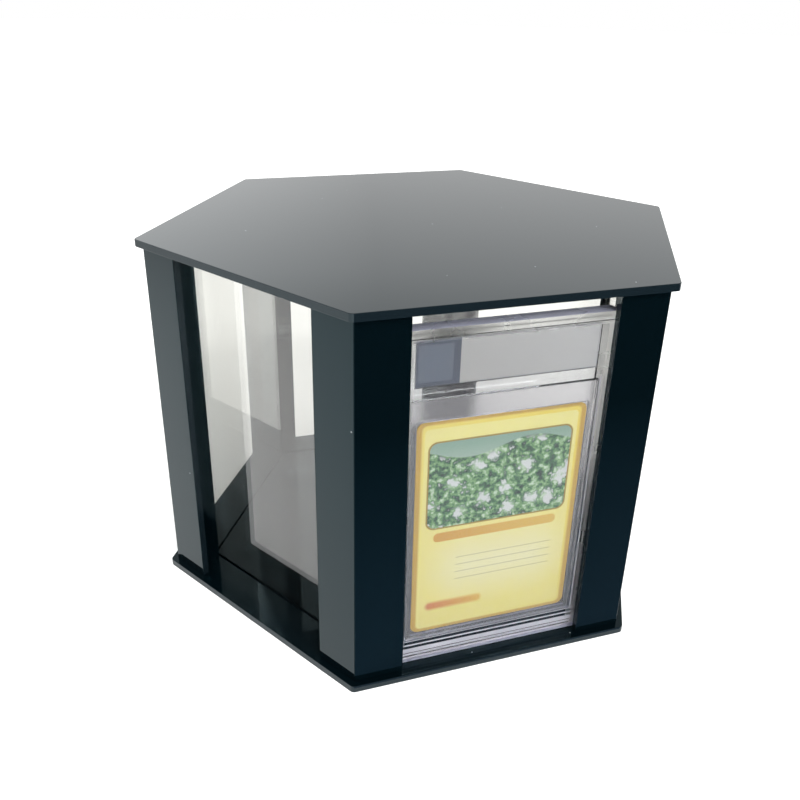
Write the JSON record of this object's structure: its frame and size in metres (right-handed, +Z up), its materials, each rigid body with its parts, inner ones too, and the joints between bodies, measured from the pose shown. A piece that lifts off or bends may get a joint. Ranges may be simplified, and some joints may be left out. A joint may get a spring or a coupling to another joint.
{
  "type": "trading card display case",
  "caption": "Hexagonal gloss-black and clear case with a lift-off lid and an open-topped pocket on each side that shows a card in a flat sealed holder.",
  "frame": {"origin": "centre of the base plate's underside, which rests on the table", "axes": "+Z up, -Y out through the window that holds the card holder, +X along that face to the right as seen from behind it, through two corners of the hexagon"},
  "size_m": [0.2234, 0.194, 0.1463],
  "materials": {
    "black_acrylic": "polished black cast sheet with laser-cut edges",
    "black_acrylic_lid": "polished black cast sheet, with a soft sheen from fine wiping marks",
    "clear_acrylic": "polished clear cast sheet",
    "holder_plastic": "clear moulded polystyrene",
    "frame_plastic": "clear moulded inner frame, slightly frosted",
    "card_stock": "coated printed card",
    "label_paper": "silver-grey printed paper"
  },
  "bodies": {
    "case": {"base_plate": "black_acrylic", "front_strip_1_left": "black_acrylic", "front_strip_1_right": "black_acrylic", "front_strip_2_left": "black_acrylic", "front_strip_2_right": "black_acrylic", "front_strip_3_left": "black_acrylic", "front_strip_3_right": "black_acrylic", "front_strip_4_left": "black_acrylic", "front_strip_4_right": "black_acrylic", "front_strip_5_left": "black_acrylic", "front_strip_5_right": "black_acrylic", "front_strip_6_left": "black_acrylic", "front_strip_6_right": "black_acrylic", "pocket_side_1_left": "black_acrylic", "pocket_side_1_right": "black_acrylic", "pocket_side_2_left": "black_acrylic", "pocket_side_2_right": "black_acrylic", "pocket_side_3_left": "black_acrylic", "pocket_side_3_right": "black_acrylic", "pocket_side_4_left": "black_acrylic", "pocket_side_4_right": "black_acrylic", "pocket_side_5_left": "black_acrylic", "pocket_side_5_right": "black_acrylic", "pocket_side_6_left": "black_acrylic", "pocket_side_6_right": "black_acrylic", "clear_panel_1": "clear_acrylic", "clear_panel_2": "clear_acrylic", "clear_panel_3": "clear_acrylic", "clear_panel_4": "clear_acrylic", "clear_panel_5": "clear_acrylic", "clear_panel_6": "clear_acrylic"},
    "lid": {"lid_plate": "black_acrylic_lid", "lid_locator": "black_acrylic_lid"},
    "card_holder": {"holder_front": "holder_plastic", "holder_back": "holder_plastic", "card_frame": "frame_plastic", "card": "card_stock", "label": "label_paper"}
  },
  "joints": [
    {"name": "lid_lift", "type": "slide", "parent": "case", "child": "lid", "axis": [0, 0, 1], "range_m": [0, 0.17]},
    {"name": "holder_lift", "type": "slide", "parent": "case", "child": "card_holder", "axis": [0, 0, 1], "range_m": [0, 0.1445]}
  ],
  "couplings": [
    {"joint": "holder_lift", "follows": "lid_lift", "ratio": 0.85}
  ]
}
